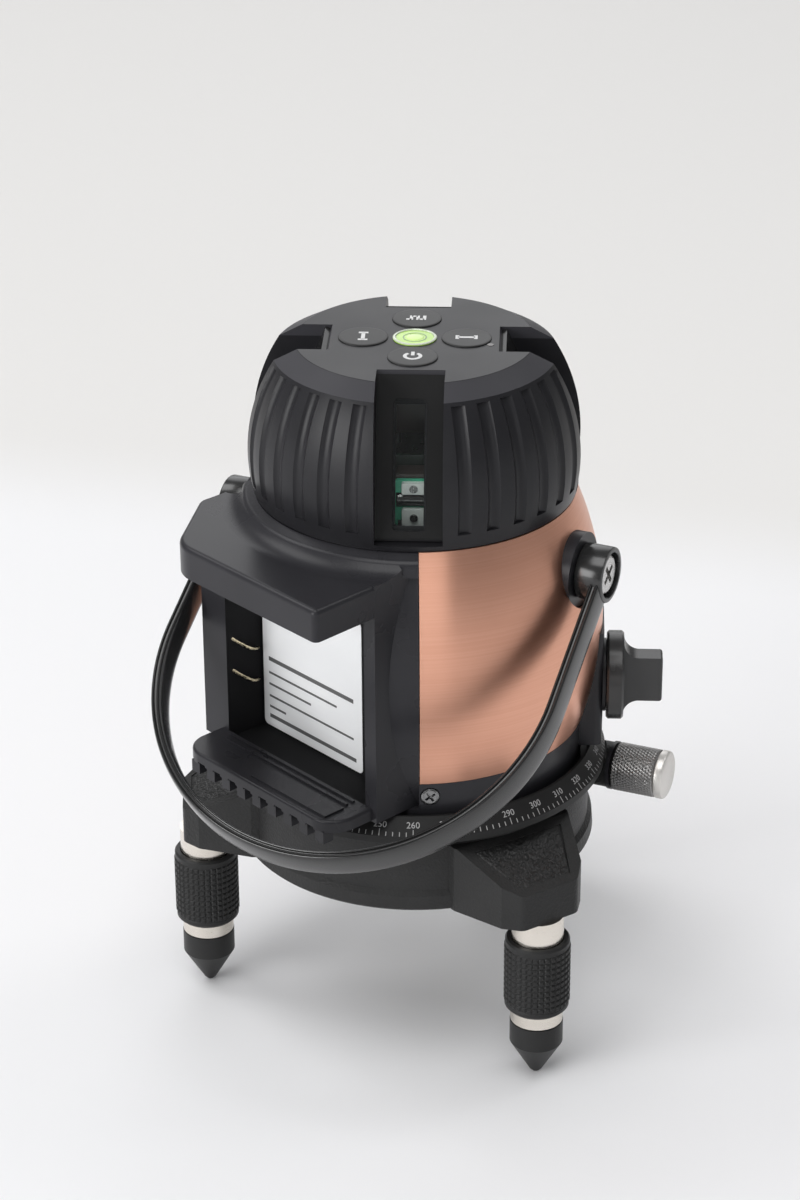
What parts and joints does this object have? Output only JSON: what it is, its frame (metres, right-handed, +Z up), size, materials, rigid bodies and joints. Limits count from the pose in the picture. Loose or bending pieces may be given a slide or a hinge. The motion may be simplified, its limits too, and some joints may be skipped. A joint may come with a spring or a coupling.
{
  "type": "line laser level",
  "caption": "Self-levelling line laser level: barrel body with ribbed head and slanted windows, open battery bay, bail handle, lock knob and dial base on screw feet.",
  "frame": {"origin": "centre of the tripod thread's mouth, in the underside of the base", "axes": "+Z up along the turning axis; -Y out of the battery bay; +X to the right of the bay"},
  "size_m": [0.1293, 0.1523, 0.2029],
  "materials": {
    "cast_base": "rough cast, black",
    "black_plastic": "fine matte grain",
    "dial_black": "satin with pale graduations",
    "window_black": "polished",
    "copper_skin": "brushed round the axis, copper colour",
    "grip_black": "square knurl",
    "nickel": "satin nickel",
    "steel": "satin",
    "aluminium": "machined",
    "bronze": "turned",
    "damping_copper": "turned",
    "magnet": "sintered",
    "slide_plastic": "low friction plastic",
    "tip_black": "matte",
    "key_rubber": "matte",
    "board_green": "solder mask",
    "clear": "polished",
    "vial_green": "clear lime",
    "light_pipe": "clear"
  },
  "bodies": {
    "base": {"tribrach_base": "cast_base", "tripod_insert": "bronze", "dial_ring": "dial_black", "foot_barrels": "nickel", "slide_ring": "slide_plastic", "base_bearing": "bronze", "fine_bush": "black_plastic"},
    "drive": {"drive_wheel": "bronze", "clutch_washer": "slide_plastic"},
    "fine_adjust": {"fine_knob": "nickel", "worm_shaft": "steel"},
    "turret": {"turntable": "aluminium", "lower_ring": "black_plastic", "bay_housing": "black_plastic", "copper_sleeve": "copper_skin", "lock_column": "black_plastic", "chassis": "aluminium", "upper_deck": "black_plastic", "head_cap": "black_plastic", "window_frames": "window_black", "window_glasses": "clear", "keypad_board": "board_green", "key_mat": "key_rubber", "status_light": "light_pipe", "bubble_vial": "vial_green", "main_board": "board_green", "magnet_ring": "magnet", "contact_springs": "steel", "handle_bosses": "black_plastic", "pivot_screws": "steel", "ring_screws": "steel"},
    "handle": {"bail_handle": "black_plastic"},
    "lock": {"lock_knob": "black_plastic", "lock_shaft": "steel"},
    "plunger": {"lock_plunger": "bronze"},
    "gimbal": {"gimbal_ring": "aluminium", "gimbal_pins": "steel"},
    "pendulum": {"pendulum_frame": "aluminium", "damping_plate": "damping_copper", "module_holders": "aluminium", "lens_rods": "clear", "driver_boards": "board_green", "module_barrels": "bronze", "horizontal_module": "bronze", "plumb_module": "bronze"},
    "foot_1": {"foot_stem_1": "nickel", "foot_tip_1": "tip_black"},
    "sleeve_1": {"foot_sleeve_1": "grip_black"},
    "foot_2": {"foot_stem_2": "nickel", "foot_tip_2": "tip_black"},
    "sleeve_2": {"foot_sleeve_2": "grip_black"},
    "foot_3": {"foot_stem_3": "nickel", "foot_tip_3": "tip_black"},
    "sleeve_3": {"foot_sleeve_3": "grip_black"},
    "key_1": {"key_1": "key_rubber"},
    "key_2": {"key_2": "key_rubber"},
    "key_3": {"key_3": "key_rubber"},
    "key_4": {"key_4": "key_rubber"}
  },
  "joints": [
    {"name": "drive_turn", "type": "hinge", "parent": "base", "child": "drive", "pos_m": [0, 0, 0.02], "axis": [0, 0, 1], "continuous": true},
    {"name": "fine_knob_turn", "type": "hinge", "parent": "base", "child": "fine_adjust", "pos_m": [0.04049, 0.04095, 0.0188], "axis": [0.9063, 0.4226, 0], "continuous": true},
    {"name": "turret_turn", "type": "hinge", "parent": "drive", "child": "turret", "pos_m": [0, 0, 0.025], "axis": [0, 0, 1], "continuous": true},
    {"name": "foot_1_travel", "type": "slide", "parent": "base", "child": "foot_1", "axis": [0, 0, -1], "range_m": [-0.005, 0.005]},
    {"name": "sleeve_1_turn", "type": "hinge", "parent": "foot_1", "child": "sleeve_1", "pos_m": [0.06066, -0.01015, -0.02], "axis": [0, 0, -1], "range_deg": [-1443, 1443]},
    {"name": "foot_2_travel", "type": "slide", "parent": "base", "child": "foot_2", "axis": [0, 0, -1], "range_m": [-0.005, 0.005]},
    {"name": "sleeve_2_turn", "type": "hinge", "parent": "foot_2", "child": "sleeve_2", "pos_m": [-0.02154, 0.05761, -0.02], "axis": [0, 0, -1], "range_deg": [-1443, 1443]},
    {"name": "foot_3_travel", "type": "slide", "parent": "base", "child": "foot_3", "axis": [0, 0, -1], "range_m": [-0.005, 0.005]},
    {"name": "sleeve_3_turn", "type": "hinge", "parent": "foot_3", "child": "sleeve_3", "pos_m": [-0.03912, -0.04745, -0.02], "axis": [0, 0, -1], "range_deg": [-1443, 1443]},
    {"name": "handle_swing", "type": "hinge", "parent": "turret", "child": "handle", "pos_m": [0, 0, 0.0905], "axis": [-0.9239, -0.3827, 0], "range_deg": [0, 250]},
    {"name": "lock_turn", "type": "hinge", "parent": "turret", "child": "lock", "pos_m": [0.03748, 0.03748, 0.0485], "axis": [0.7071, 0.7071, 0], "range_deg": [0, 90.2]},
    {"name": "plunger_travel", "type": "slide", "parent": "turret", "child": "plunger", "axis": [-0.7071, -0.7071, 0], "range_m": [0, 0.004]},
    {"name": "key_1_press", "type": "slide", "parent": "turret", "child": "key_1", "axis": [0, 0, -1], "range_m": [0, 0.0008], "stiffness_N_per_m": 800, "springref_m": -0.0005},
    {"name": "key_2_press", "type": "slide", "parent": "turret", "child": "key_2", "axis": [0, 0, -1], "range_m": [0, 0.0008], "stiffness_N_per_m": 800, "springref_m": -0.0005},
    {"name": "key_3_press", "type": "slide", "parent": "turret", "child": "key_3", "axis": [0, 0, -1], "range_m": [0, 0.0008], "stiffness_N_per_m": 800, "springref_m": -0.0005},
    {"name": "key_4_press", "type": "slide", "parent": "turret", "child": "key_4", "axis": [0, 0, -1], "range_m": [0, 0.0008], "stiffness_N_per_m": 800, "springref_m": -0.0005},
    {"name": "gimbal_swing", "type": "hinge", "parent": "turret", "child": "gimbal", "pos_m": [0, 0, 0.0945], "axis": [-1, 0, 0], "range_deg": [-3, 3]},
    {"name": "pendulum_swing", "type": "hinge", "parent": "gimbal", "child": "pendulum", "pos_m": [0, 0, 0.0945], "axis": [0, 1, 0], "range_deg": [-3, 3]}
  ],
  "couplings": [
    {"joint": "fine_knob_turn", "follows": "drive_turn", "ratio": 40},
    {"joint": "sleeve_1_turn", "follows": "foot_1_travel", "rad_per_m": 5026.5},
    {"joint": "sleeve_2_turn", "follows": "foot_2_travel", "rad_per_m": 5026.5},
    {"joint": "sleeve_3_turn", "follows": "foot_3_travel", "rad_per_m": 5026.5},
    {"joint": "lock_turn", "follows": "plunger_travel", "rad_per_m": 392.7}
  ]
}
